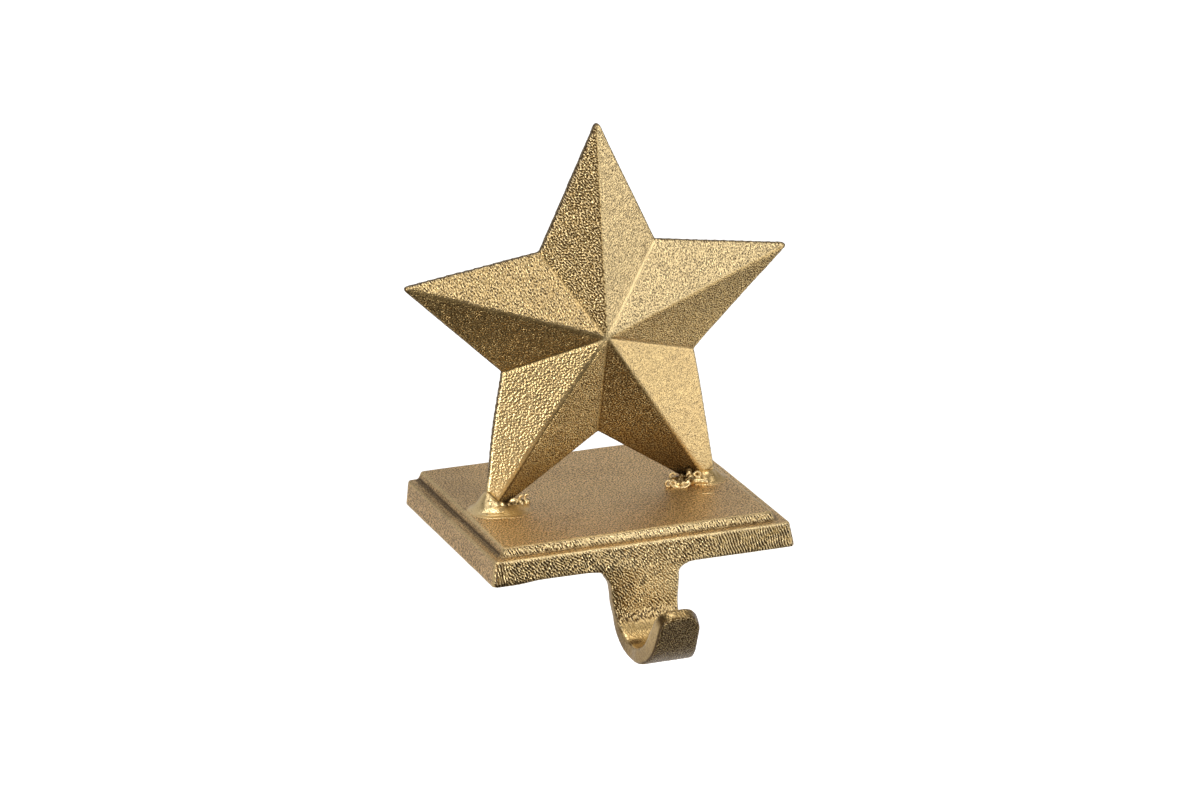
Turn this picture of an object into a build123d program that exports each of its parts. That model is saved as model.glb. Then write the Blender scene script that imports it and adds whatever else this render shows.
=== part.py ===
"""Mantel stocking holder: a stepped cast plate with a hook on its front edge and a faceted star on top."""
import os
from math import cos, radians, sin, tan

from build123d import *

os.makedirs("parts", exist_ok=True)

# Plate: lower tier, and an upper tier stepped back at the front and both sides and flush at the back
plate_width = 100.0
plate_depth = 82.3
lower_tier_height = 8.2
upper_tier_height = 2.65
plate_draft = 5.0
ledge_width = 3.45
bevel_run = 0.95
plate_corner_radius = 1.3
plate_edge_radius = 0.5

# Hook: a strap that runs down from the plate's front edge, bends forward and rises to a leaning lip
hook_width = 22.6
hook_tip_width = 12.8
hook_shift = 0.45
hook_drop = 11.2
throat_radius = 10.3
stem_thickness = 3.8
bend_thickness = 4.9
lip_length = 14.4
lip_inner_lean = 31.0
lip_outer_lean = 23.0
lip_end_radius = 5.0
stem_flare_radius = 5.0
hook_edge_break = 0.5

# Star: three arms and two longer legs, a flat back, a narrow rim wall and ten facets that rise to one point
arm_radius = 69.0
leg_radius = 73.6
notch_radius = 34.0
upper_notch_turn = 35.0
side_arm_turn = 72.0
lower_notch_turn = 107.5
leg_turn = 146.0
leg_trim_height = 5.6
star_back = 0.45
rim_wall = 2.0
facet_rise = 8.7
arm_tip_radius = 1.0

# Welds: a skirt and a steeper collar around each foot, and beads on the plate under the leg
# Each bead is (inwards, forwards, radius, height), with its place measured from the foot's front
weld_skirt_height = 1.2
weld_collar_height = 2.8
bead_shoulder = 0.78
bead_crown = 0.3
left_skirt_radius = 7.6
left_collar_radius = 4.8
left_collar_top_radius = 3.2
left_weld_forward = 1.3
left_beads = [(6.0, 1.4, 2.3, 3.2), (8.9, 0.6, 2.1, 3.8), (11.3, 0.2, 1.7, 3.4)]
right_skirt_radius = 6.0
right_collar_radius = 4.3
right_collar_top_radius = 3.0
right_weld_forward = 0.2
right_beads = [
    (3.4, 2.3, 2.3, 4.6),
    (6.0, 2.9, 2.6, 4.0),
    (9.0, 2.9, 3.2, 3.6),
    (9.0, 1.0, 2.2, 5.0),
    (12.3, 1.3, 2.2, 2.4),
]

# Sizes that follow from the ones above
plate_flare = lower_tier_height * tan(radians(plate_draft))
plate_top = lower_tier_height + upper_tier_height
tier_back_lean = upper_tier_height * tan(radians(plate_draft))
tier_width = plate_width - 2 * ledge_width
tier_depth = plate_depth - ledge_width
plate_back = plate_depth / 2
stem_front = -plate_depth / 2 - plate_flare
flare_edge = hook_width / 2 + stem_flare_radius
bend_radius = throat_radius + bend_thickness
star_centre = plate_top - leg_trim_height - leg_radius * cos(radians(leg_turn))
rim_front = star_back - rim_wall
apex_front = rim_front - facet_rise
ON_PLATE = (Align.CENTER, Align.CENTER, Align.MIN)


def star_point(radius, turn):
    """Corner of the star seen from the front, turned clockwise from straight up."""
    return (radius * sin(radians(turn)), star_centre + radius * cos(radians(turn)))


def at_plate_top(upper, lower):
    """Distance from the middle at which a leg's edge reaches the plate."""
    share = (upper[1] - plate_top) / (upper[1] - lower[1])
    return upper[0] + share * (lower[0] - upper[0])


top_arm = star_point(arm_radius, 0)
upper_notch = star_point(notch_radius, upper_notch_turn)
side_arm = star_point(arm_radius, side_arm_turn)
lower_notch = star_point(notch_radius, lower_notch_turn)
leg = star_point(leg_radius, leg_turn)
bottom_notch = star_point(notch_radius, 180)
foot = (at_plate_top(lower_notch, leg) + at_plate_top(bottom_notch, leg)) / 2

# Base: plate and hook, one casting
with BuildPart() as base_with_hook:
    with BuildSketch():
        RectangleRounded(
            plate_width + 2 * plate_flare,
            plate_depth + 2 * plate_flare,
            plate_corner_radius + plate_flare,
        )
    extrude(amount=lower_tier_height, taper=plate_draft)
    with BuildSketch(Plane.XY.offset(lower_tier_height)):
        with Locations((0, plate_back)):
            RectangleRounded(tier_width, tier_depth, plate_corner_radius, align=(Align.CENTER, Align.MAX))
    with BuildSketch(Plane.XY.offset(plate_top)):
        with Locations((0, plate_back - tier_back_lean)):
            RectangleRounded(
                tier_width - 2 * bevel_run,
                tier_depth - bevel_run - tier_back_lean,
                plate_corner_radius,
                align=(Align.CENTER, Align.MAX),
            )
    loft(ruled=True)

    # Side view of the hook, with the throat on the inner line
    with BuildSketch(Plane.YZ.offset(hook_shift)):
        with BuildLine():
            throat_centre = (stem_front - throat_radius, -hook_drop)
            inner_stem = Line((stem_front, 0), (stem_front, -hook_drop))
            inner_bend = CenterArc(throat_centre, throat_radius, 0, lip_inner_lean - 180)
            inner_lip = PolarLine(inner_bend @ 1, lip_length, direction=inner_bend % 1)
            stem_back = stem_front + stem_thickness
            outer_stem = Line((stem_back, 0), (stem_back, -hook_drop))
            bend_centre = (stem_back - bend_radius, -hook_drop)
            outer_bend = CenterArc(bend_centre, bend_radius, 0, lip_outer_lean - 180)
            rise = (inner_lip @ 1 - outer_bend @ 1).dot(inner_bend % 1)
            outer_lip = PolarLine(
                outer_bend @ 1,
                rise / (inner_bend % 1).dot(outer_bend % 1),
                direction=outer_bend % 1,
            )
            Line(inner_lip @ 1, outer_lip @ 1)
            Line(inner_stem @ 0, outer_stem @ 0)
            lip_front = (outer_lip @ 1).X
        make_face()
    extrude(amount=hook_width / 2, both=True)

    # The strap narrows towards the lip on both sides
    with BuildSketch(Plane((hook_shift, 0, 0))):
        with BuildLine():
            Polyline(
                (hook_width / 2, stem_front),
                (hook_tip_width / 2, lip_front),
                (hook_width, lip_front),
                (hook_width, stem_front),
                close=True,
            )
        make_face()
        mirror(about=Plane.YZ)
    extrude(amount=-2 * (hook_drop + bend_radius), mode=Mode.SUBTRACT)
    lip_end = base_with_hook.faces().sort_by(Axis.Y)[0]
    fillet(lip_end.edges().filter_by(Axis.X, reverse=True), lip_end_radius)

    # Concave flares where the stem joins the underside
    with BuildSketch(Plane((hook_shift, stem_front, 0), x_dir=(1, 0, 0), z_dir=(0, -1, 0))):
        with BuildLine():
            right_flare = CenterArc((flare_edge, -stem_flare_radius), stem_flare_radius, 90, 90)
            left_flare = CenterArc((-flare_edge, -stem_flare_radius), stem_flare_radius, 90, -90)
            Line(right_flare @ 0, left_flare @ 0)
            Line(right_flare @ 1, left_flare @ 1)
        make_face()
    extrude(amount=-stem_thickness)

    # Softened plate edges on both lines of the step and on the top, and broken edges along the strap
    step_edges = base_with_hook.edges().filter_by_position(Axis.Z, lower_tier_height, lower_tier_height)
    fillet(step_edges, plate_edge_radius)
    fillet(base_with_hook.faces().sort_by(Axis.Z)[-1].edges(), plate_edge_radius)
    lip_end = base_with_hook.faces().sort_by(Axis.Y)[0]
    chamfer(lip_end.edges().filter_by(Axis.X), hook_edge_break)

# Star: rim wall from the flat back, then the facets, cut level where the legs stand on the plate
with BuildPart() as star:
    with BuildSketch(Plane.XZ.offset(-star_back)) as outline:
        with BuildLine():
            half = Polyline(top_arm, upper_notch, side_arm, lower_notch, leg, bottom_notch)
            mirror(half, about=Plane.YZ)
        make_face()
        fillet(outline.vertices().sort_by_distance((0, star_centre))[-5:], arm_tip_radius)
    extrude(amount=rim_wall)
    rim_face = star.faces().sort_by(Axis.Y)[0]
    loft([rim_face, Vertex(0, apex_front, star_centre)], ruled=True)
    split(bisect_by=Plane.XY.offset(plate_top), keep=Keep.TOP)

# Welds: laid around the front and sides of each foot, in the corner between leg and plate
with BuildPart() as left_weld:
    with Locations((-foot, rim_front - left_weld_forward, plate_top)):
        Cone(left_skirt_radius, left_collar_radius, weld_skirt_height, align=ON_PLATE)
    with Locations((-foot, rim_front - left_weld_forward, plate_top + weld_skirt_height)):
        Cone(left_collar_radius, left_collar_top_radius, weld_collar_height, align=ON_PLATE)
    for inwards, forwards, radius, height in left_beads:
        with Locations((inwards - foot, rim_front - forwards, plate_top)):
            Cone(radius, bead_shoulder * radius, height / 2, align=ON_PLATE)
        with Locations((inwards - foot, rim_front - forwards, plate_top + height / 2)):
            Cone(bead_shoulder * radius, bead_crown * radius, height / 2, align=ON_PLATE)
    split(bisect_by=Plane.XZ.offset(-star_back), keep=Keep.TOP)
    add(star.part, mode=Mode.SUBTRACT)

with BuildPart() as right_weld:
    with Locations((foot, rim_front - right_weld_forward, plate_top)):
        Cone(right_skirt_radius, right_collar_radius, weld_skirt_height, align=ON_PLATE)
    with Locations((foot, rim_front - right_weld_forward, plate_top + weld_skirt_height)):
        Cone(right_collar_radius, right_collar_top_radius, weld_collar_height, align=ON_PLATE)
    for inwards, forwards, radius, height in right_beads:
        with Locations((foot - inwards, rim_front - forwards, plate_top)):
            Cone(radius, bead_shoulder * radius, height / 2, align=ON_PLATE)
        with Locations((foot - inwards, rim_front - forwards, plate_top + height / 2)):
            Cone(bead_shoulder * radius, bead_crown * radius, height / 2, align=ON_PLATE)
    split(bisect_by=Plane.XZ.offset(-star_back), keep=Keep.TOP)
    add(star.part, mode=Mode.SUBTRACT)

base_with_hook.part.label = "base_with_hook"
star.part.label = "star"
left_weld.part.label = "left_weld"
right_weld.part.label = "right_weld"
export_step(base_with_hook.part, "parts/base_with_hook.step")
export_step(star.part, "parts/star.step")
export_step(left_weld.part, "parts/left_weld.step")
export_step(right_weld.part, "parts/right_weld.step")
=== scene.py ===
"""Looks of a mantel stocking holder: cast star, stepped plate with hook, and welds, in antique gold."""
import math
from collections import namedtuple

import bmesh
import bpy
import numpy as np
from bpy.props import FloatProperty, FloatVectorProperty, IntProperty, PointerProperty
from mathutils import Matrix, Vector


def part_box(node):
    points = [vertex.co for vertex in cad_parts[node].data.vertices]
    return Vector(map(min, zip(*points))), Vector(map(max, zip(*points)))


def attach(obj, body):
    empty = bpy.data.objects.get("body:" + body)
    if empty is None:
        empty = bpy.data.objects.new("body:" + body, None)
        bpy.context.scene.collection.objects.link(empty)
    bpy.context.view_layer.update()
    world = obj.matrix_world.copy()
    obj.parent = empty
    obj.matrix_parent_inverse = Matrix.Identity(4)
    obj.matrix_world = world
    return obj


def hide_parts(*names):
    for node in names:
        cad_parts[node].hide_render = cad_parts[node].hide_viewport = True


bl_info = {
    "name": "Mantel stocking holder",
    "version": (1, 0, 0),
    "blender": (4, 5, 0),
    "location": "3D View > Sidebar > Holder",
    "description": "Dresses the packed solids of a cast star stocking holder",
    "category": "Object",
}

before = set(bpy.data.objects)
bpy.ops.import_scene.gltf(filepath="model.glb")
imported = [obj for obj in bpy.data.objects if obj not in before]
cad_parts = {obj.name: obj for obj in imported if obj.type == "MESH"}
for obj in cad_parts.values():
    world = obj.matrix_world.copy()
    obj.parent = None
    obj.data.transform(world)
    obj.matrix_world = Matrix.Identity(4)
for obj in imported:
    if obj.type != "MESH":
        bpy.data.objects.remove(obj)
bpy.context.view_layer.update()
MM = 0.001

# Places and sizes below are in millimetres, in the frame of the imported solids: heights of the plate's top
# and of the ledge round it, and the middles (x, y) of the two welds
PLATE_TOP = round(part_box("star")[0][2] / MM, 2)
LEDGE = 8.2
WELD_MIDDLES = ((-35.0, -2.5), (33.0, -3.0))


def length_property(label, description, size):
    """A length in metres, given here in millimetres."""
    return FloatProperty(name=label, description=description, default=size * MM, unit="LENGTH", precision=5)


def colour_property(label, description, shade):
    return FloatVectorProperty(name=label, description=description, default=shade, subtype="COLOR")


def angle_property(label, description, degrees):
    return FloatProperty(
        name=label, description=description, default=math.radians(degrees), subtype="ANGLE")


def power_property(label, description, watts):
    return FloatProperty(name=label, description=description, default=watts, unit="POWER")


class HolderForm(bpy.types.PropertyGroup):
    """Sizes of the castings' surfaces."""

    star_cell: length_property("Star cell", "Spacing of the star's surface mesh", 0.44)
    plate_cell: length_property("Plate cell", "Spacing of the plate's and hook's surface mesh", 0.5)
    weld_cell: length_property("Weld cell", "Spacing of the weld metal's surface mesh", 0.2)
    edge_passes: IntProperty(
        name="Edge passes", description="How far casting and tumbling have rounded the edges", default=1)
    swell_height: length_property("Swell height", "Height of the slow unevenness of a sand casting", 0.16)
    swell_length: length_property("Swell length", "Length of the slow unevenness", 16)
    pebble_height: length_property("Pebble height", "Height of the coarse sand pebble in the mesh", 0.13)
    pebble_length: length_property("Pebble length", "Width of one coarse pebble", 0.7)


class HolderFinish(bpy.types.PropertyGroup):
    """Colours, gloss and grain of the antique gold coat."""

    gold: colour_property("Gold", "The coat on open faces", (0.64, 0.44, 0.17))
    # Worn gold is also the colour of painted highlight on lit facets, a valley and the weld cones
    worn: colour_property("Worn gold", "The coat where edges are rubbed", (0.82, 0.62, 0.31))
    # Also the colour of painted glints on filed crests, which lighten the dimly lit front
    bright: colour_property("Bright gold", "Crests that the file has brightened", (1.0, 0.785, 0.43))
    brown: colour_property("Brown", "Broad patches where the coat is darker", (0.50, 0.29, 0.10))
    # Umber is also the colour of the painted shade in the dark layer
    umber: colour_property("Umber", "Antiquing left in pits and corners", (0.092, 0.050, 0.013))
    tan: colour_property("Tan", "The duller coat on the plate", (0.94, 0.63, 0.285))
    roughness: FloatProperty(
        name="Roughness", description="Satin of the coat", default=0.31, subtype="FACTOR")
    grain_length: length_property("Grain length", "Width of one grain of moulding sand", 0.60)
    grain_depth: length_property("Grain depth", "Depth of the sand grain", 0.50)
    patch_length: length_property("Patch length", "Width of the broad patches", 13)
    cloud_length: length_property("Cloud length", "Width of the small clouds in the coat", 4.2)


class HolderStage(bpy.types.PropertyGroup):
    """Camera, ledge and lamps."""

    camera_place: FloatVectorProperty(
        name="Camera", description="Where the camera stands", subtype="TRANSLATION",
        default=(-0.576276, -1.480658, 0.587073))
    camera_turn: angle_property("Turn", "Camera's turn to the left of straight on", -21.306)
    camera_tilt: angle_property("Tilt", "How far the camera looks down", 18.925)
    camera_roll: angle_property("Roll", "Camera's roll", -0.098)
    lens: FloatProperty(
        name="Lens", description="Focal length in millimetres", default=158.216, unit="CAMERA")
    paper: colour_property("Paper", "The pale ledge", (0.62, 0.62, 0.63))
    room: colour_property("Room", "The dim room that the metal reflects", (1.0, 0.85, 0.6))
    front_power: power_property("Front", "Power of the box in front, a little right", 4.7)
    low_power: power_property("Low right", "Power of the low box at the right", 4.1)
    high_power: power_property("High right", "Power of the high box at the right", 4.1)
    left_power: power_property("Left", "Power of the box at the front left", 14.0)
    side_power: power_property("High left", "Power of the high box at the left", 4.0)
    top_power: power_property("Top", "Power of the box overhead", 10.0)


class Wire:
    """One output socket; arithmetic on it adds Math nodes to its board."""

    def __init__(self, board, socket):
        self.board = board
        self.socket = socket

    def maths(self, operation, first, second, clamp=False):
        return self.board.add(
            "ShaderNodeMath", {"operation": operation, "use_clamp": clamp}, {0: first, 1: second})

    def __add__(self, other):
        return self.maths("ADD", self, other)

    def __radd__(self, other):
        return self.maths("ADD", other, self)

    def __sub__(self, other):
        return self.maths("SUBTRACT", self, other)

    def __rsub__(self, other):
        return self.maths("SUBTRACT", other, self)

    def __mul__(self, other):
        return self.maths("MULTIPLY", self, other)

    def __rmul__(self, other):
        return self.maths("MULTIPLY", other, self)

    def __truediv__(self, other):
        return self.maths("DIVIDE", self, other)

    def __rtruediv__(self, other):
        return self.maths("DIVIDE", other, self)

    def clamped(self):
        return self.maths("ADD", self, 0.0, clamp=True)

    def larger(self, other):
        return self.maths("MAXIMUM", self, other)

    def smaller(self, other):
        return self.maths("MINIMUM", self, other)

    def ramp(self, low, high):
        """0 below low, 1 above high and smooth between; low may be the larger."""
        return self.board.add(
            "ShaderNodeMapRange", {"interpolation_type": "SMOOTHSTEP"},
            {"Value": self, "From Min": low, "From Max": high, "To Min": 0.0, "To Max": 1.0})


class Board:
    """A node tree that nodes are laid on."""

    def __init__(self, tree):
        self.tree = tree

    def add(self, kind, settings=None, sockets=None, out=0):
        """Adds a node and gives the wire from one of its outputs, if it has any."""
        node = self.tree.nodes.new(kind)
        for key, value in (settings or {}).items():
            setattr(node, key, value)
        for key, value in (sockets or {}).items():
            if isinstance(value, Wire):
                self.tree.links.new(value.socket, node.inputs[key])
            else:
                node.inputs[key].default_value = value
        return Wire(self, node.outputs[out]) if len(node.outputs) else None

    def given(self, name):
        """A named input of a Geometry Nodes tree."""
        return self.add("NodeGroupInput", out=name)

    def stored(self, name):
        """A number per point that a Geometry Nodes tree reads."""
        return self.add("GeometryNodeInputNamedAttribute", {"data_type": "FLOAT"}, {"Name": name})

    def painted(self, layer):
        """A number per point that a finish reads."""
        return self.add(
            "ShaderNodeAttribute", {"attribute_type": "GEOMETRY", "attribute_name": layer}, out="Fac")

    def split(self, place, axes):
        """The wires of a vector's axes."""
        return (self.add("ShaderNodeSeparateXYZ", {}, {0: place}, out=axis) for axis in axes)

    def noise(self, place, length, detail=2.0, rough=0.5):
        return self.add(
            "ShaderNodeTexNoise", {},
            {"Vector": place, "Scale": 1.0 / length, "Detail": detail, "Roughness": rough})

    def ray(self, kind):
        """1 for rays of one kind."""
        return self.add("ShaderNodeLightPath", out=f"Is {kind} Ray")

    def blend(self, share, first, second):
        """Colour mix: first where share is 0, second where it is 1."""
        return self.add(
            "ShaderNodeMix", {"data_type": "RGBA", "clamp_factor": True},
            {0: share, 6: first, 7: second}, out=2)


def cleared_board(owner):
    """The emptied node tree of a material or a world."""
    owner.use_nodes = True
    owner.node_tree.nodes.clear()
    return Board(owner.node_tree)


def rgba(shade):
    return (*shade, 1.0)


def step(low, high, value):
    """Smooth step on arrays; low may be the larger."""
    share = np.clip((value - low) / (high - low), 0.0, 1.0)
    return share * share * (3.0 - 2.0 * share)


def bell(value, width):
    """1 where the value is 0, fading on both sides over the width."""
    return np.exp(-((value / width) ** 2))


def near_line(across, along, start, end, width):
    """1 on the line from start to end, fading over the width."""
    run = np.subtract(end, start)
    share = ((across - start[0]) * run[0] + (along - start[1]) * run[1]) / run.dot(run)
    share = np.clip(share, 0.0, 1.0)
    return bell(np.hypot(across - start[0] - share * run[0], along - start[1] - share * run[1]), width)


def new_object(name, data):
    made = bpy.data.objects.new(name, data)
    bpy.context.scene.collection.objects.link(made)
    return made


def plain_mesh(source):
    """The evaluated object as one mesh with no modifier behind it."""
    bpy.context.view_layer.update()
    ready = source.evaluated_get(bpy.context.evaluated_depsgraph_get())
    return bpy.data.meshes.new_from_object(ready)


def keep_result(piece):
    """Gives the piece its evaluated mesh and takes its modifiers off."""
    mesh = plain_mesh(piece)
    old = piece.data
    piece.modifiers.clear()
    piece.data = mesh
    mesh.name = piece.name
    bpy.data.meshes.remove(old)


def merged_copy(node, name):
    """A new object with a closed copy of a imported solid."""
    join_gap = 0.0005 * MM
    work = bmesh.new()
    work.from_mesh(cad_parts[node].data)
    bmesh.ops.remove_doubles(work, verts=work.verts, dist=join_gap)
    bmesh.ops.dissolve_degenerate(work, edges=work.edges, dist=join_gap)
    mesh = bpy.data.meshes.new(name)
    work.to_mesh(mesh)
    work.free()
    mesh.materials.clear()
    return new_object(name, mesh)


def recell(piece, cell):
    """Lays an even skin of that spacing over the piece."""
    skin = piece.modifiers.new("skin", "REMESH")
    skin.mode = "VOXEL"
    skin.voxel_size = cell
    skin.adaptivity = 0.0
    keep_result(piece)
    piece.data.materials.clear()


def points_of(mesh):
    flat = np.empty(len(mesh.vertices) * 3, np.float32)
    mesh.vertices.foreach_get("co", flat)
    return flat.reshape(-1, 3).astype(float) / MM


def normals_of(mesh):
    flat = np.empty(len(mesh.vertices) * 3, np.float32)
    mesh.vertex_normals.foreach_get("vector", flat)
    return flat.reshape(-1, 3).astype(float)


def move_points(mesh, points):
    mesh.vertices.foreach_set("co", (points * MM).astype(np.float32).ravel())
    mesh.update()


def paint(mesh, name, values):
    """Stores one number per point for the surface tree and the finish to read."""
    layer = mesh.attributes.new(name, "FLOAT", "POINT")
    layer.data.foreach_set("value", np.asarray(values, np.float32))


def new_tree(name, inputs):
    """A Geometry Nodes tree with a geometry in and out, and further named inputs."""
    tree = bpy.data.node_groups.new(name, "GeometryNodeTree")
    for label, kind in (("Geometry", "NodeSocketGeometry"), *inputs):
        tree.interface.new_socket(label, in_out="INPUT", socket_type=kind)
    tree.interface.new_socket("Geometry", in_out="OUTPUT", socket_type="NodeSocketGeometry")
    return tree


def close_tree(board, geometry):
    """Ends a tree in plain geometry with the given material."""
    whole = board.add("GeometryNodeRealizeInstances", {}, {0: geometry})
    dressed = board.add(
        "GeometryNodeSetMaterial", {}, {"Geometry": whole, "Material": board.given("Material")})
    board.add("NodeGroupOutput", {}, {0: dressed})


def run_tree(piece, tree, values):
    """Runs a tree on a piece with these inputs and keeps the result as the piece's mesh."""
    run = piece.modifiers.new(tree.name, "NODES")
    run.node_group = tree
    for item in tree.interface.items_tree:
        if item.in_out == "INPUT" and item.name in values:
            run[item.identifier] = values[item.name]
    keep_result(piece)


def surface_tree():
    """Sand-cast skin: rounds edges, notes how far each point stands proud, adds swell and pebble."""
    tree = new_tree("cast_skin", (
        ("Edge passes", "NodeSocketInt"),
        ("Swell height", "NodeSocketFloat"), ("Swell length", "NodeSocketFloat"),
        ("Pebble height", "NodeSocketFloat"), ("Pebble length", "NodeSocketFloat"),
        ("Material", "NodeSocketMaterial")))
    board = Board(tree)
    proud_passes = 4
    proud_height = 0.07 * MM

    def blurred(passes):
        return board.add(
            "GeometryNodeBlurAttribute", {"data_type": "FLOAT_VECTOR"},
            {"Value": board.add("GeometryNodeInputPosition"), "Iterations": passes})

    def vectors(operation, first, second, out=0):
        return board.add("ShaderNodeVectorMath", {"operation": operation}, {0: first, 1: second}, out=out)

    soft = board.add(
        "GeometryNodeSetPosition", {},
        {"Geometry": board.given("Geometry"), "Position": blurred(board.given("Edge passes"))})
    place = board.add("GeometryNodeInputPosition")
    normal = board.add("GeometryNodeInputNormal")
    proud = vectors("DOT_PRODUCT", vectors("SUBTRACT", place, blurred(proud_passes)), normal, out="Value")
    noted = board.add(
        "GeometryNodeStoreNamedAttribute", {"data_type": "FLOAT", "domain": "POINT"},
        {"Geometry": soft, "Name": "proud", "Value": proud / proud_height})
    swell = board.noise(place, board.given("Swell length"), detail=1.5) - 0.5
    pebble = board.noise(place, board.given("Pebble length"), detail=1.0, rough=0.4) - 0.5
    height = (swell * board.given("Swell height") * 2.0
              + pebble * board.given("Pebble height") * board.stored("grain") * 2.0)
    offset = board.add("ShaderNodeVectorMath", {"operation": "SCALE"}, {0: normal, "Scale": height})
    lifted = board.add("GeometryNodeSetPosition", {}, {"Geometry": noted, "Offset": offset})
    close_tree(board, board.add("GeometryNodeSetShadeSmooth", {}, {0: lifted}))
    return tree


def cast_skin(piece, form, material, passes, swell=1.0, pebble=1.0):
    """Lays the sand-cast skin on a piece."""
    tree = bpy.data.node_groups.get("cast_skin") or surface_tree()
    run_tree(piece, tree, {
        "Edge passes": passes,
        "Swell height": form.swell_height * swell, "Swell length": form.swell_length,
        "Pebble height": form.pebble_height * pebble, "Pebble length": form.pebble_length,
        "Material": material})


# The Gabor texture's socket for the turn of a flat pattern, which shares its name with the next one
GABOR_TURN = 4


def sand_grain(board, place, finish, fine, filed, scored):
    """Height of the grain: crumbs of sand, drawn out into strokes where the casting is filed or scored."""
    # One flat map that keeps its grain on faces that look forwards, up or to a side
    across, depth, up = board.split(place, "XYZ")
    spot = board.add("ShaderNodeCombineXYZ", {}, {"X": across + depth * 0.5, "Y": up - depth})

    def strokes(lean, apart, run, order):
        """Grain with this spacing and run, in grains; order draws it out along a lean to the right."""
        return board.add(
            "ShaderNodeTexGabor", {"gabor_type": "2D"},
            {"Vector": spot, "Scale": 1.0 / (run * finish.grain_length), "Frequency": run / apart,
             "Anisotropy": order, GABOR_TURN: -math.radians(lean)})

    crumbs = strokes(0, 1.3, 2.0, 0.0) * 0.8 + fine * 0.45 - 0.125
    left_marks = strokes(-34, 1.45, 2.6, 0.70)
    right_marks = strokes(34, 1.5, 2.3, 0.55)
    score_marks = strokes(-14, 1.5, 6.0, 0.88)
    filed_left, filed_right = filed.larger(0.0), (0.0 - filed).larger(0.0)
    sand = crumbs + (left_marks - crumbs) * filed_left + (right_marks - crumbs) * filed_right
    return sand + (score_marks - sand) * scored


# What the pieces paint on their points: grain is how coarse the sand is, the dark layer the umber that was
# left on together with painted shade, dull the share of tan, the light layer the share of rubbed gold
# together with painted highlight, filed the file's strokes (below 0 they lean right) and scored the longer
# strokes along the front. The surface tree adds proud, how far a point stands out.
LAYERS = ("grain", "soot", "dull", "wear", "filed", "scored", "proud")


def antique_gold(name, finish):
    """Satin gold coat over sand-cast grain, with umber in the pits and rubbed edges, and the painted shade,
    highlights and glints that the layers carry.
    """
    found = bpy.data.materials.get(name)
    if found:
        return found
    material = bpy.data.materials.new(name)
    board = cleared_board(material)
    place = board.add("ShaderNodeTexCoord", out="Object")
    grain, soot, dull, wear, filed, scored, proud = (board.painted(layer) for layer in LAYERS)
    fine = board.noise(place, 0.9 * finish.grain_length, detail=1.0)
    mottle = board.noise(place, finish.patch_length, detail=3.0, rough=0.6)
    cloud = board.noise(place, finish.cloud_length)
    sand = sand_grain(board, place, finish, fine, filed, scored)
    pit = sand.ramp(0.485, 0.40)
    crest_and_glint = sand.ramp(0.495, 0.585)

    coat = board.blend(dull, rgba(finish.gold), rgba(finish.tan))
    coat = board.blend(mottle.ramp(0.35, 0.70) * 0.25, coat, rgba(finish.brown))
    clouds = cloud.ramp(0.45, 0.75) * (1.0 - dull * 0.7) * 0.15
    coat = board.blend(clouds, coat, rgba(finish.worn))
    specks = fine.ramp(0.56, 0.42) * (0.12 + dull * 0.66)
    coat = board.blend(specks, coat, rgba(finish.umber))
    # Rubbed gold on proud edges, plus the light layer's painted highlight
    rubbed = (proud.ramp(0.35, 1.3) * 0.75 + wear) * (1.0 - soot).clamped()
    coat = board.blend(rubbed.clamped(), coat, rgba(finish.worn))
    holes = fine.ramp(0.36, 0.28) * cloud.ramp(0.48, 0.62) * (1.0 - dull) * 0.7
    corners = proud.ramp(-0.2, -1.0) * 0.6
    # Darkening: umber in pits, corners and holes, plus the dark layer's painted shade
    dirt_and_shade = (pit * (grain * 0.70).smaller(0.95) + soot + corners + holes).clamped()
    coat = board.blend(dirt_and_shade, coat, rgba(finish.umber))
    # Painted glints: crests of the grain lightened over the umber, more so where filed
    polish_and_glint = board.blend(filed.larger(0.0), rgba(finish.worn), rgba(finish.bright))
    coat = board.blend(crest_and_glint * (grain * 0.60).smaller(0.9), coat, polish_and_glint)

    bump = board.add("ShaderNodeBump", {}, {
        "Height": sand * grain + fine * (0.12 + dull * 0.20),
        "Strength": 1.0,
        "Distance": finish.grain_depth})
    surface = board.add("ShaderNodeBsdfPrincipled", {}, {
        "Base Color": coat,
        "Roughness": finish.roughness + pit * 0.10 + (cloud - 0.5) * 0.12 + dull * 0.10,
        "Metallic": 0.92,
        "Normal": bump,
        "Coat Weight": 0.22 - dull * 0.06 - dirt_and_shade * 0.12,
        "Coat Roughness": 0.28,
        "Coat IOR": 1.8})
    board.add("ShaderNodeOutputMaterial", {}, {"Surface": surface})
    return material


def finish_piece(piece, node):
    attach(piece, "root")
    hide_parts(node)


# Facets of the star, clockwise from straight up: the turn where each ends, in degrees, and its coat
# The facets' dark and light shares are mostly painted shade and painted highlight, setting each facet as
# bright as the light leaves it, over a little umber
Facet = namedtuple("Facet", "end grain soot wear filed")
FACETS = {
    "top_right": Facet(35.0, 0.66, 0.0, 0.9, 0.0),
    "right_arm_upper": Facet(72.0, 0.85, 0.0, 0.95, 0.0),
    "right_arm_lower": Facet(107.5, 1.10, 0.03, 0.0, 0.0),
    "right_leg_outer": Facet(146.0, 0.30, 0.0, 0.3, 0.0),
    "right_leg_inner": Facet(180.0, 0.72, 0.68, 0.0, 0.0),
    "left_leg_inner": Facet(214.0, 1.55, 0.14, 0.0, 0.0),
    "left_leg_outer": Facet(252.5, 0.90, 0.0, 0.4, -0.5),
    "left_arm_lower": Facet(288.0, 0.55, 0.49, 0.0, 0.0),
    "left_arm_upper": Facet(325.0, 1.08, 0.12, 0.1, 0.4),
    "top_left": Facet(360.0, 1.42, 0.52, 0.0, 0.3),
}

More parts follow.
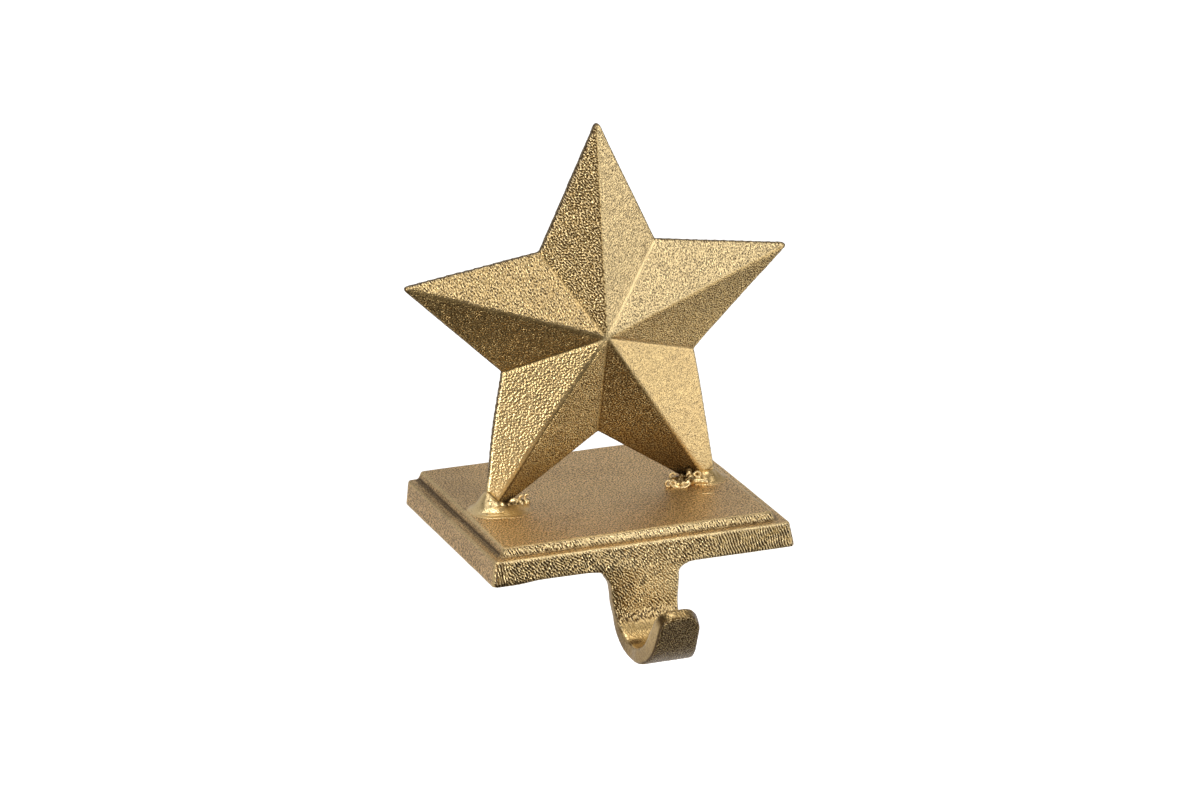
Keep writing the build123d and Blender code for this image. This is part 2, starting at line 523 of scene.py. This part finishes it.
# Corners of the legs (x, z), and how far the casting departs from its drawing there and at the point
LEG_TIP, SIDE_NOTCH, LOW_NOTCH = (41.2, 5.25), (32.4, 56.0), (0.0, 32.3)
LEFT_LEG_SHIFT, RIGHT_LEG_SHIFT = 1.25, 0.7
POINT_BLUNT, POINT_WIDTH = 0.35, 2.2


class StarFace:
    """Where each point of the star lies, seen from the front: its facet, turn and reach from the apex."""

    def __init__(self, points, apex):
        self.x, _, self.z = points.T
        across, up = self.x - apex[0], self.z - apex[2]
        self.reach = np.hypot(across, up)
        self.turn = np.degrees(np.arctan2(across, up)) % 360.0
        self.ends = np.array([facet.end for facet in FACETS.values()])
        self.facet = np.minimum(np.searchsorted(self.ends, self.turn, side="right"), len(self.ends) - 1)

    def on(self, name):
        return self.facet == tuple(FACETS).index(name)

    def own(self, layer):
        """What the facet at each point has of a layer."""
        return np.array([getattr(facet, layer) for facet in FACETS.values()])[self.facet]

    def off_line(self, turn):
        """Distance from the line that runs out from the apex at that turn."""
        return np.radians(self.turn - turn) * self.reach

    def off_ridges(self):
        """Distance from the nearest ridge or valley."""
        gaps = np.abs(self.turn[:, None] - np.array([0.0, *self.ends]))
        return np.radians(gaps.min(axis=1)) * self.reach


def between(height, upper, lower):
    """Distance from the middle of a straight edge between two corners, at that height."""
    return upper[0] + (lower[0] - upper[0]) * (upper[1] - height) / (upper[1] - lower[1])


class HOLDER_OT_star(bpy.types.Operator):
    """Casts the faceted star with soft ridges and sand grain"""

    bl_idname = "holder.make_star"
    bl_label = "Star"

    def execute(self, context):
        form = context.scene.holder_form
        star = merged_copy("star", "cast_star")
        recell(star, form.star_cell)
        points = points_of(star.data)
        apex = points[points[:, 1].argmin()].copy()
        self.lay_coat(star.data, points, apex)
        self.hand_finish(star.data, points, apex)
        coat = antique_gold("gold_coat_on_casting", context.scene.holder_finish)
        cast_skin(star, form, coat, form.edge_passes)
        finish_piece(star, "star")
        return {"FINISHED"}

    def hand_finish(self, mesh, points, apex):
        """Blunts the point and draws the legs' outer edges a little to the right, as cast."""
        x, y, z = points.T
        ridge = between(z, (0.0, apex[2]), LEG_TIP)
        outer = between(z, SIDE_NOTCH, LEG_TIP)
        inner = np.maximum(between(z, LOW_NOTCH, LEG_TIP), 0.0)
        left = step(0.0, 0.6, (-x - inner) / (outer - inner)) * step(42.0, 13.0, z) * (x < 0.0)
        right = np.clip((x - ridge) / (outer - ridge), 0.0, 1.0) * step(64.0, 52.0, z) * (x > 0.0)
        spread = np.hypot(x - apex[0], z - apex[2])
        points[:, 0] = x + LEFT_LEG_SHIFT * left + RIGHT_LEG_SHIFT * right
        points[:, 1] = y + POINT_BLUNT * bell(spread, POINT_WIDTH)
        move_points(mesh, points)

    def lay_coat(self, mesh, points, apex):
        """Gives each facet its own coat of painted shade and highlight, and the point, one valley (a
        painted highlight), the rim wall (painted shade) and the tips theirs.
        """
        face = StarFace(points, apex)
        facing = normals_of(mesh)[:, 1]
        front = step(0.0, -0.6, facing)
        wall = step(-0.8, -0.45, facing) * step(0.8, 0.45, facing)
        tip = step(65.0, 68.5, face.reach) * (face.z > 30.0)
        point = bell(face.reach, 1.5)
        # A thin painted highlight along the valley between the top right facet and the right arm
        valley = bell(face.off_line(FACETS["top_right"].end), 0.45) * step(3.0, 9.0, face.reach)
        left_foot = (face.x < 0.0) * step(24.0, 18.0, face.z)
        # Painted highlight on the lower left leg's outer facet
        painted_leg_highlight = face.on("left_leg_outer") * step(58.0, 20.0, face.z)
        grain = self.facet_grain(face) * (1.0 - valley)
        soot = self.facet_shade_and_umber(face) * (1.0 - point)
        wear = face.own("wear") + 0.8 * valley + point + 0.5 * painted_leg_highlight
        paint(mesh, "grain", grain * front + 0.7 * (1.0 - front))
        paint(mesh, "filed", face.own("filed") * front)
        # The rim wall is darkened as painted shade
        paint(mesh, "soot", soot * front + 0.9 * wall * (1.0 - 0.8 * left_foot) + 0.5 * tip)
        paint(mesh, "wear", wear * front)

    def facet_grain(self, face):
        """Each facet's grain, faded along the ridges and valleys and worn at the feet."""
        open_face = 0.2 + 0.8 * step(0.1, 1.2, face.off_ridges())
        left_foot = 0.3 * step(44.0, 26.0, face.z) + 0.5 * step(26.0, 15.0, face.z)
        inner_feet = 0.6 * step(40.0, 18.0, face.z)
        inner_legs = face.on("left_leg_inner") | face.on("right_leg_inner")
        worn = face.on("left_leg_outer") * left_foot + inner_legs * inner_feet
        return face.own("grain") * (1.0 - worn) * open_face

    def facet_shade_and_umber(self, face):
        """Each facet's painted shade and umber, darker beside some ridges, with painted shade at the inner
        feet, a painted shadow over pits in a crease, and a crack.
        """
        beside_ridge = (0.16 * face.on("top_left") * step(335.0, 360.0, face.turn)
                        + 0.22 * face.on("right_arm_lower") * step(92.0, 72.0, face.turn)
                        + 0.12 * face.on("left_arm_lower") * step(268.0, 288.0, face.turn))
        inner_legs = 0.5 * face.on("left_leg_inner") + 0.33 * face.on("right_leg_inner")
        # Painted shade at the inner feet, between the legs
        inner_feet = inner_legs * step(36.0, 14.0, face.z)
        crease = bell(face.off_line(FACETS["left_leg_inner"].end - 0.4), 0.35) * step(6.0, 14.0, face.reach)
        crack = near_line(face.x, face.z, (36.7, 14.6), (39.6, 15.7), 0.25)
        return face.own("soot") + beside_ridge + inner_feet + 0.5 * crease + 0.9 * crack


# How far the strap's edges lean to the right of the drawn ones, by depth below the plate
STRAP_MIDDLE, STRAP_HALF = 0.45, 11.3
STRAP_DEPTHS = (0.0, 1.0, 2.2, 4.5, 8.0, 11.0, 13.5, 16.0, 22.0, 27.0)
STRAP_LEFT = (0.0, -0.9, -1.3, -0.8, -0.25, 0.0, 0.5, 0.86, 0.86, 0.5)
STRAP_RIGHT = (0.0, -0.6, -0.7, 0.0, -0.2, -0.4, -0.45, -0.5, -0.5, -0.4)

# Further hand finish: the lip's right shoulder falls, the plate's right end flares and its front foot lifts
SHOULDER_START, SHOULDER_FALL = 2.0, 0.055
END_FLARE, FOOT_LIFT = 0.9, 0.6

# How strongly each zone of the plate and hook shows in each layer of the coat
BASE_COAT = {
    "grain": {
        "everywhere": 0.30, "front": 1.3, "riser": -0.1, "side": -0.24, "outside": 1.2, "lip": -0.65,
        "cheek": -0.15, "stem_dark": -0.2, "stem_right": -0.35},
    "filed": {"front": 1.0, "riser": -0.5, "stroked": 0.65},
    "dull": {"top": 0.55, "open_top": 0.45, "side": 0.9, "off_front": 0.5, "cheek": 0.1, "under": 0.25},
    # In this dark layer the plate's sides, left tread and left riser, the patch below the right weld, the
    # hook's lip front, cheeks, underside, throat crescent and stem's left are painted shade; the negative
    # crease and stem's right shares are painted light
    "soot": {
        "left_end": 0.26, "right_end": 0.36, "middle": -0.12, "end_lines": 1.0, "foot_line": 0.7,
        "brow": -0.2, "side": 0.20, "tread": 0.18, "crease": -0.15, "left_riser": 0.35, "left_shade": 0.22,
        "right_shade": 0.12, "weld_shadow": 0.35, "pock": 0.8,
        "lip": 0.88, "smear": -0.35, "rim": 0.40, "bend": 0.20, "throat_shadow": 0.7, "cheek": 0.36,
        "stem_cheek": 0.20, "low_cheek": 0.2, "under": 0.30, "stem_dark": 0.55, "stem_right": -0.25,
        "stem_open": -0.144, "streak": 0.6},
    "wear": {
        "edge": 0.9, "corner": 0.8, "riser": 0.3, "brow": 0.8, "middle": 0.65, "stem_open": 0.78},
}
# How far these lines and edges have lost their grain
SMOOTHED = {"end_lines": 0.9, "foot_line": 0.42, "brow": 0.7}


def plate_zones(plate, points, normals):
    """Surfaces and marks of the plate, each from 0 to 1 at every point."""
    x, y, z = points.T
    facing_x, facing_y, facing_z = normals.T
    front = plate * step(-0.55, -0.8, facing_y)
    top = plate * step(0.6, 0.9, facing_z)
    middle = bell(x, 26.0)
    ends = front * (1.0 - middle)
    above = z - LEDGE
    from_welds = np.minimum.reduce([np.hypot(x - weld[0], y - weld[1]) for weld in WELD_MIDDLES])
    lower_brink = plate * step(-0.25, -0.5, facing_y) * step(0.4, 0.0, above)
    left_slope = plate * step(-0.35, -0.6, facing_x) * (x < -40.0)
    return {
        "front": front,
        "middle": front * middle,
        "left_end": ends * (x <= 0.0),
        "right_end": ends * (x > 0.0),
        "end_lines": front * (bell(x + 49.4, 0.5) + 0.85 * bell(x + 47.6, 0.5)),
        "foot_line": front * step(1.5, 0.5, z) * step(-10.0, -16.0, x),
        "brow": front * step(-0.9, -0.5, above) * step(0.4, 0.1, above),
        "riser": front * step(-0.2, 0.4, above),
        "off_front": plate - front,
        "side": plate * step(0.6, 0.85, np.abs(facing_x)),
        "edge": lower_brink * step(0.25, 0.5, facing_z),
        "corner": lower_brink * step(-0.25, -0.5, facing_x),
        # The tread and left riser at the step's left are painted shade, the crease between them painted
        # light
        "tread": top * step(0.8, 0.2, above) * step(-44.0, -46.0, x),
        "crease": plate * bell(x + 46.8, 1.0) * step(-0.2, 0.0, above) * step(0.8, 0.4, above),
        "left_riser": left_slope * step(0.0, 0.3, above) * step(1.3, 0.8, above),
        "top": top,
        "open_top": top * step(5.0, 12.0, from_welds),
        "left_shade": top * step(-24.0, -38.0, x) * step(-6.0, 8.0, y),
        "right_shade": top * step(8.0, 22.0, x) * step(0.0, -12.0, y),
        # Painted shadow of the right weld on the plate
        "weld_shadow": top * bell(x - 26.0, 6.0) * bell(y + 8.0, 2.6),
        "pock": bell(np.hypot(x + 44.4, y - 1.7), 0.6) * (above > 1.8),
    }


def hook_zones(hook, points, normals):
    """Surfaces and marks of the hook, each from 0 to 1 at every point."""
    x, y, z = points.T
    facing_x, facing_y, facing_z = normals.T
    bend = hook * step(0.45, 0.62, facing_z)
    inner_lip = hook * step(0.2, 0.5, facing_y) * step(-50.0, -54.0, y)
    cheek = hook * step(0.6, 0.8, np.abs(facing_x))
    rim = hook * step(0.5, 0.7, facing_z) * step(-55.0, -58.0, y)
    lip = hook * step(-58.0, -61.0, y + 0.42 * (z + 18.0)) * step(-0.15, -0.5, facing_y) * (1.0 - rim)
    outside = hook * (1.0 - np.maximum.reduce([bend, inner_lip, cheek]))
    shank = outside * (1.0 - lip)
    stem = shank * step(-0.3, -0.6, facing_y)
    # Painted shade down the stem's left and low part; the stem's right is painted light
    stem_dark = np.maximum(stem * step(1.0, -8.0, x), 0.8 * stem * step(-8.0, -12.5, z))
    return {
        "outside": outside,
        "stroked": shank * step(0.4, 0.05, facing_z),
        "stem_dark": stem_dark,
        "stem_right": stem * step(2.0, 8.0, x),
        "stem_open": shank * (1.0 - stem_dark),
        "streak": near_line(x, z, (-10.0, -6.0), (-9.0, -15.0), 0.9) * (y > -46.0) * (facing_y < -0.3),
        "bend": bend,
        # Painted shadow: the dark crescent at the bottom of the throat
        "throat_shadow": bend * np.exp(-(((x + 7.0) / 3.2) ** 4) - ((y + 49.8) / 1.3) ** 4),
        # Cheeks, lip front and underside are painted shade; the low cheek is darker towards the bottom
        "cheek": cheek,
        "stem_cheek": cheek * step(-50.0, -46.0, y),
        "low_cheek": cheek * step(-13.0, -22.0, z),
        "under": hook * step(-0.5, -0.8, facing_z),
        "rim": rim,
        "lip": lip,
        "smear": near_line(x, z, (5.4, -12.6), (8.6, -14.0), 0.7) * lip**2,
    }


class HOLDER_OT_base(bpy.types.Operator):
    """Casts the stepped plate and its hook in one piece"""

    bl_idname = "holder.make_base"
    bl_label = "Plate and hook"

    def execute(self, context):
        form = context.scene.holder_form
        base = merged_copy("base_with_hook", "cast_base_with_hook")
        recell(base, form.plate_cell)
        self.hand_finish(base.data)
        self.lay_coat(base.data)
        coat = antique_gold("gold_coat_on_casting", context.scene.holder_finish)
        cast_skin(base, form, coat, form.edge_passes)
        finish_piece(base, "base_with_hook")
        return {"FINISHED"}

    def hand_finish(self, mesh):
        """Leans the strap and lifts the plate's front edge as moulding and filing left them."""
        points = points_of(mesh)
        x, y, z = points.T
        strap = step(0.3, -0.3, z) * step(-56.0, -51.0, y)
        off_middle = (x - STRAP_MIDDLE) / STRAP_HALF
        left = np.interp(-z, STRAP_DEPTHS, STRAP_LEFT) * np.clip(-off_middle, 0.0, 1.0)
        right = np.interp(-z, STRAP_DEPTHS, STRAP_RIGHT) * np.clip(off_middle, 0.0, 1.0)
        shoulder = (step(-17.0, -11.0, z) * step(-57.0, -60.0, y)
                    * np.clip(x - SHOULDER_START, 0.0, None) ** 2)
        flare = step(20.0, 50.0, x) * step(LEDGE, 0.0, z) * step(-30.0, -40.0, y)
        lift = step(-44.0, -34.0, x) * step(-12.0, -20.0, x) * step(4.0, 0.0, z) * step(-36.0, -40.0, y)
        points[:, 0] = x + strap * (left + right) + END_FLARE * flare
        points[:, 2] = z - SHOULDER_FALL * shoulder + FOOT_LIFT * lift
        move_points(mesh, points)

    def lay_coat(self, mesh):
        """Paints where the casting is coarse, filed, scored, dull, dark or rubbed."""
        points, normals = points_of(mesh), normals_of(mesh)
        x, _, z = points.T
        hook = step(0.2, -0.4, z)
        zones = {"everywhere": np.ones(len(x))}
        zones.update(plate_zones(1.0 - hook, points, normals))
        zones.update(hook_zones(hook, points, normals))
        coat = {}
        for layer, shares in BASE_COAT.items():
            coat[layer] = sum(share * zones[zone] for zone, share in shares.items())
        for zone, share in SMOOTHED.items():
            coat["grain"] *= 1.0 - share * zones[zone]
        for layer in ("filed", "dull", "wear"):
            coat[layer] = np.clip(coat[layer], 0.0, 1.0)
        scored_ends = np.clip(step(14.0, 34.0, x) + step(-44.5, -46.5, x), 0.0, 0.8)
        coat["scored"] = zones["front"] * scored_ends * (1.0 - 0.6 * zones["riser"])
        for layer, values in coat.items():
            paint(mesh, layer, values)


def bead_tree():
    """A ball on every point, as large as the point's radius."""
    tree = new_tree("weld_beads", (("Material", "NodeSocketMaterial"),))
    board = Board(tree)
    ball = board.add("GeometryNodeMeshIcoSphere", {}, {"Radius": 1.0, "Subdivisions": 4})
    close_tree(board, board.add(
        "GeometryNodeInstanceOnPoints", {},
        {"Points": board.given("Geometry"), "Instance": ball, "Scale": board.stored("radius")}))
    return tree


def weld_beads(name, beads, material):
    """Beads of weld metal, each (x, y, z, radius)."""
    mesh = bpy.data.meshes.new(name)
    mesh.from_pydata([tuple(v * MM for v in bead[:3]) for bead in beads], [], [])
    paint(mesh, "radius", [bead[3] * MM for bead in beads])
    piece = new_object(name, mesh)
    run_tree(piece, bpy.data.node_groups.get("weld_beads") or bead_tree(), {"Material": material})
    return piece


def add_turned(piece, middle, profile, sides=64):
    """Turns a (radius, height) profile round a foot and joins it to the weld."""
    work = bmesh.new()
    work.from_mesh(piece.data)
    rings = []
    for radius, height in profile:
        rings.append([
            work.verts.new((
                (middle[0] + radius * math.cos(math.tau * i / sides)) * MM,
                (middle[1] + radius * math.sin(math.tau * i / sides)) * MM,
                (PLATE_TOP + height) * MM))
            for i in range(sides)])
    for lower, upper in zip(rings, rings[1:]):
        for i in range(sides):
            j = (i + 1) % sides
            work.faces.new((lower[i], lower[j], upper[j], upper[i]))
    work.faces.new(rings[0][::-1])
    work.faces.new(rings[-1])
    work.to_mesh(piece.data)
    work.free()


# Lumps of weld metal (x, y, z, radius), and curls (x, y, z, half width, half height, from, to, radius),
# with the ends of a curl in degrees
LEFT_LUMPS = (
    (-37.4, -3.2, 13.4, 2.0), (-36.6, -3.0, 12.2, 2.6), (-33.6, -3.4, 11.7, 1.9), (-31.2, -3.2, 11.6, 1.5),
    (-29.3, -2.8, 12.3, 1.5), (-26.6, -2.0, 11.8, 1.2), (-24.4, -1.4, 11.6, 1.1), (-28.0, -3.2, 11.2, 1.1),
)
LEFT_CURLS = (
    (-29.5, -3.3, 12.9, 1.1, 0.9, 20, 250, 0.5), (-26.7, -2.7, 13.0, 0.8, 1.5, 80, 280, 0.5),
    (-24.6, -1.9, 13.1, 0.7, 1.3, 60, 290, 0.42),
)
RIGHT_LUMPS = (
    (27.2, -3.2, 11.6, 2.5), (30.8, -3.4, 12.6, 2.1), (33.6, -2.8, 12.6, 2.0), (27.7, -3.8, 14.2, 0.95),
    (30.6, -3.2, 15.4, 1.1), (29.2, -4.6, 14.2, 0.55), (30.4, -5.0, 13.4, 0.6), (31.8, -4.8, 13.0, 0.5),
    (25.0, -2.9, 12.6, 1.2), (36.8, -3.0, 12.2, 1.5), (33.9, -14.4, 10.8, 0.3),
)
RIGHT_CURLS = (
    (23.5, -3.2, 12.0, 0.95, 0.95, 0, 360, 0.45), (25.2, -2.6, 14.3, 0.9, 0.9, 20, 300, 0.42),
    (33.1, -4.2, 14.1, 1.0, 1.0, -30, 250, 0.48), (26.7, -5.2, 12.6, 3.2, 1.9, 185, 350, 0.5),
    (27.1, -4.9, 13.4, 2.5, 1.4, 190, 350, 0.45), (30.2, -4.4, 14.3, 0.8, 0.8, 60, 330, 0.38),
    (33.0, -5.0, 11.9, 2.6, 0.3, 0, 180, 0.9), (32.8, -13.6, 10.8, 1.6, 0.1, 0, 180, 0.25),
)

# Turned forms round each foot: middle (x, y) and a profile of (radius, height above the plate)
LEFT_TURNED = (
    ((-37.6, -1.6), (
        (7.4, -0.6), (7.0, 0.0), (6.0, 0.4), (5.1, 0.9), (4.3, 1.6), (3.6, 2.5), (2.9, 3.6), (2.2, 4.7),
        (1.4, 5.6), (0.5, 6.0))),
    ((-36.4, -2.6), (
        (8.7, -0.5), (8.4, 0.0), (7.9, 0.24), (7.3, 0.2), (6.6, 0.3), (6.0, 0.62), (5.3, 0.6), (4.6, 1.1),
        (3.6, 1.8), (1.0, 2.2))),
    ((-31.6, -4.6), (
        (8.2, -0.5), (7.9, 0.0), (7.2, 0.2), (6.2, 0.24), (5.0, 0.55), (3.6, 0.95), (2.0, 1.3),
        (0.6, 1.4))),
)
RIGHT_TURNED = (
    ((37.2, -1.4), (
        (6.6, -0.6), (6.2, 0.0), (5.4, 0.3), (4.6, 0.9), (3.8, 1.9), (3.0, 2.9), (2.2, 3.6), (1.0, 3.9))),
    ((38.8, -0.4), (
        (6.6, -0.6), (6.3, 0.0), (5.2, 0.5), (4.2, 1.2), (3.2, 2.2), (2.2, 3.0), (1.0, 3.4))),
)

# Turn of the curls, their beads' spacing in radii, and the distance from the middle where they end
CURL_TURN = math.radians(-21)
BEAD_SPACING = 0.5
CURLS_END = 33.5


def curl_beads(curls):
    """Strings of beads along each curl, drawn upright and turned a little to the left."""
    for x, y, z, wide, high, first, last, radius in curls:
        count = max(4, int(math.radians(last - first) * max(wide, high) / (BEAD_SPACING * radius)))
        for i in range(count + 1):
            angle = math.radians(first + (last - first) * i / count)
            across = wide * math.cos(angle)
            yield (
                x + across * math.cos(CURL_TURN), y + across * math.sin(CURL_TURN),
                z + high * math.sin(angle), radius)


class HOLDER_OT_welds(bpy.types.Operator):
    """Lays the weld metal at the star's two feet"""

    bl_idname = "holder.make_welds"
    bl_label = "Welds"

    def execute(self, context):
        form = context.scene.holder_form
        coat = antique_gold("gold_coat_on_weld", context.scene.holder_finish)
        # The last value is the share of painted highlight on each weld's cone
        for node, name, lumps, curls, turned, wear in (
            ("left_weld", "weld_metal_left", LEFT_LUMPS, LEFT_CURLS, LEFT_TURNED, 0.8),
            ("right_weld", "weld_metal_right", RIGHT_LUMPS, RIGHT_CURLS, RIGHT_TURNED, 0.25),
        ):
            beads = tuple(curl_beads(curls))
            weld = weld_beads(name, (*lumps, *beads), coat)
            for middle, profile in turned:
                add_turned(weld, middle, profile)
            recell(weld, form.weld_cell)
            self.lay_coat(weld.data, beads, turned, wear)
            cast_skin(weld, form, coat, 2 * form.edge_passes, swell=0.6, pebble=0.3)
            finish_piece(weld, node)
        return {"FINISHED"}

    def lay_coat(self, mesh, beads, turned, wear):
        """Keeps the curls light, lays painted highlight on the cone, leaves umber and painted shade between
        the curls and in a hollow, and dulls the outer ring.
        """
        points = points_of(mesh)
        x, y, z = points.T
        to_beads = [np.linalg.norm(points - bead[:3], axis=1) - bead[3] for bead in beads]
        curl = step(0.35, 0.1, np.minimum.reduce(to_beads))
        away = [np.hypot(x - middle[0], y - middle[1]) / profile[1][0] for middle, profile in turned]
        cone = step(1.0, 0.75, np.minimum.reduce(away))
        inner = np.abs(x) < CURLS_END
        outer = step(40.0, 44.0, x)
        above = 1.0 - step(PLATE_TOP + 1.8, PLATE_TOP + 1.1, z)
        rim = step(PLATE_TOP + 0.5, PLATE_TOP + 0.2, z)
        crack = near_line(x, z, (-37.7, 16.8), (-35.3, 14.2), 0.3) * (y < -2.0)
        shaded_hollow = near_line(x, z, (36.2, 13.0), (38.0, 13.4), 0.4) * (y < -2.0)
        # Painted highlight on the left cone's slope
        lit_patch = near_line(x, z, (-42.5, 12.0), (-36.0, 12.6), 2.4) * (y < 1.0) * (x < -33.0)
        rubbed = wear * cone * (1.0 - 0.7 * inner) + 0.8 * curl
        paint(mesh, "grain", np.full(len(x), 0.15))
        # The lumps between the curls are darkened as painted shade over umber, and the hollow as painted
        # shade
        paint(mesh, "soot", 0.85 * inner * (1.0 - curl) * above + 0.9 * crack + 0.12 * outer + 0.6 * shaded_hollow)
        paint(mesh, "wear", np.clip(rubbed * (1.0 - 0.6 * outer) + lit_patch, 0.0, 1.0))
        paint(mesh, "dull", np.clip((1.0 - cone) * rim + 0.4 * outer, 0.0, 1.0))


WHITE = (1.0, 1.0, 1.0, 1.0)
PAPER_GLOW, PAPER_IN_METAL = 0.86, 0.4
ROOM_STRENGTH, SWEEP_IN_METAL = 0.04, 0.55


def pale_paper(stage):
    """Matt pale stage that the camera sees nearly white, with the shadow kept."""
    material = bpy.data.materials.new("pale_paper")
    board = cleared_board(material)
    mirrored = board.ray("Glossy") + board.ray("Transmission")
    seen = (board.ray("Camera") + mirrored * PAPER_IN_METAL).clamped()
    matt = board.add("ShaderNodeBsdfDiffuse", {}, {"Color": rgba(stage.paper)})
    glow = board.add("ShaderNodeEmission", {}, {"Color": WHITE, "Strength": PAPER_GLOW})
    both = board.add("ShaderNodeAddShader", {}, {0: matt, 1: glow})
    mixed = board.add("ShaderNodeMixShader", {}, {0: seen, 1: matt, 2: both})
    board.add("ShaderNodeOutputMaterial", {}, {"Surface": mixed})
    return material


def studio_world(scene, stage):
    """White to the camera; to the metal, a white sweep behind and a dim room in front and below."""
    scene.world = bpy.data.worlds.new("studio")
    board = cleared_board(scene.world)
    along, up = board.split(board.add("ShaderNodeTexCoord", out="Generated"), "YZ")
    sweep = along.ramp(-0.2, 0.5) * up.ramp(-0.35, 0.1)
    mirrored = board.ray("Glossy") + board.ray("Transmission")
    white = (board.ray("Camera") + mirrored * sweep * SWEEP_IN_METAL).clamped()
    room = board.add("ShaderNodeBackground", {}, {"Color": rgba(stage.room), "Strength": ROOM_STRENGTH})
    paper = board.add("ShaderNodeBackground", {}, {"Color": WHITE, "Strength": 1.0})
    mixed = board.add("ShaderNodeMixShader", {}, {0: white, 1: room, 2: paper})
    board.add("ShaderNodeOutputWorld", {}, {"Surface": mixed})


# Middle of the holder, which the soft boxes face, and the boxes' width and distance in metres
LIT_MIDDLE = Vector((0.0, 0.0, 60 * MM))
BOX_WIDTH, BOX_AWAY = 0.8, 1.5


def soft_box(name, turn, rise, power):
    """A square soft box, turned to the right of straight on and raised, that faces the star."""
    lamp = bpy.data.lights.new(name, "AREA")
    lamp.shape = "SQUARE"
    lamp.size = BOX_WIDTH
    lamp.energy = power
    made = new_object(name, lamp)
    aim = Vector((math.sin(turn) * math.cos(rise), -math.cos(turn) * math.cos(rise), math.sin(rise)))
    made.location = LIT_MIDDLE + BOX_AWAY * aim
    made.rotation_euler = aim.to_track_quat("Z", "Y").to_euler()
    made.visible_camera = False


class HOLDER_OT_stage(bpy.types.Operator):
    """Sets the pale ledge, the soft boxes and the camera"""

    bl_idname = "holder.make_stage"
    bl_label = "Stage"

    def execute(self, context):
        scene = context.scene
        stage = scene.holder_stage
        scene.view_settings.view_transform = "Standard"
        self.lay_ledge(stage)
        studio_world(scene, stage)
        for name, turn, rise, power in (
            ("front_box", 25, 15, stage.front_power), ("low_right_box", 52, -14, stage.low_power),
            ("high_right_box", 45, 35, stage.high_power), ("left_box", -40, 0, stage.left_power),
            ("high_left_box", -35, 35, stage.side_power), ("top_box", 0, 85, stage.top_power),
        ):
            soft_box(name, math.radians(turn), math.radians(rise), power)
        self.place_camera(scene, stage)
        return {"FINISHED"}

    def lay_ledge(self, stage):
        """A wide ledge whose front edge is just behind the hook's stem."""
        edge = -37.5 * MM
        reach = 4.0
        top = -0.05 * MM
        mesh = bpy.data.meshes.new("pale_ledge")
        mesh.from_pydata(
            [(-reach, reach, top), (reach, reach, top), (reach, edge, top), (-reach, edge, top),
             (reach, edge, -reach), (-reach, edge, -reach)],
            [], [(3, 2, 1, 0), (5, 4, 2, 3)])
        mesh.materials.append(pale_paper(stage))
        new_object("pale_ledge", mesh)

    def place_camera(self, scene, stage):
        turn, tilt, roll = stage.camera_turn, stage.camera_tilt, stage.camera_roll
        ahead = Vector((-math.sin(turn) * math.cos(tilt), math.cos(turn) * math.cos(tilt), -math.sin(tilt)))
        right = Vector((math.cos(turn), math.sin(turn), 0.0))
        up = right.cross(ahead)
        right, up = (
            right * math.cos(roll) + up * math.sin(roll), up * math.cos(roll) - right * math.sin(roll))
        data = bpy.data.cameras.new("camera")
        data.sensor_width = 36.0
        data.lens = stage.lens
        data.clip_start, data.clip_end = 0.05, 20.0
        camera = new_object("camera", data)
        camera.matrix_world = Matrix.Translation(Vector(stage.camera_place)) @ Matrix(
            (right, up, -ahead)).transposed().to_4x4()
        scene.camera = camera


class HOLDER_PT_panel(bpy.types.Panel):
    """Lists the steps in the 3D view's sidebar"""

    bl_label = "Stocking holder"
    bl_space_type = "VIEW_3D"
    bl_region_type = "UI"
    bl_category = "Holder"

    def draw(self, context):
        for operator in OPERATORS:
            self.layout.operator(operator.bl_idname)
        for name, kind in GROUPS:
            box = self.layout.box()
            for value in kind.__annotations__:
                box.prop(getattr(context.scene, name), value)


GROUPS = (("holder_form", HolderForm), ("holder_finish", HolderFinish), ("holder_stage", HolderStage))
OPERATORS = (HOLDER_OT_stage, HOLDER_OT_base, HOLDER_OT_star, HOLDER_OT_welds)


def register():
    for name, group in GROUPS:
        bpy.utils.register_class(group)
        setattr(bpy.types.Scene, name, PointerProperty(type=group))
    for shown in (*OPERATORS, HOLDER_PT_panel):
        bpy.utils.register_class(shown)


def unregister():
    for shown in (HOLDER_PT_panel, *reversed(OPERATORS)):
        bpy.utils.unregister_class(shown)
    for name, group in reversed(GROUPS):
        delattr(bpy.types.Scene, name)
        bpy.utils.unregister_class(group)


def main():
    register()
    bpy.ops.holder.make_stage()
    bpy.ops.holder.make_base()
    bpy.ops.holder.make_star()
    bpy.ops.holder.make_welds()


if __name__ == "__main__":
    main()
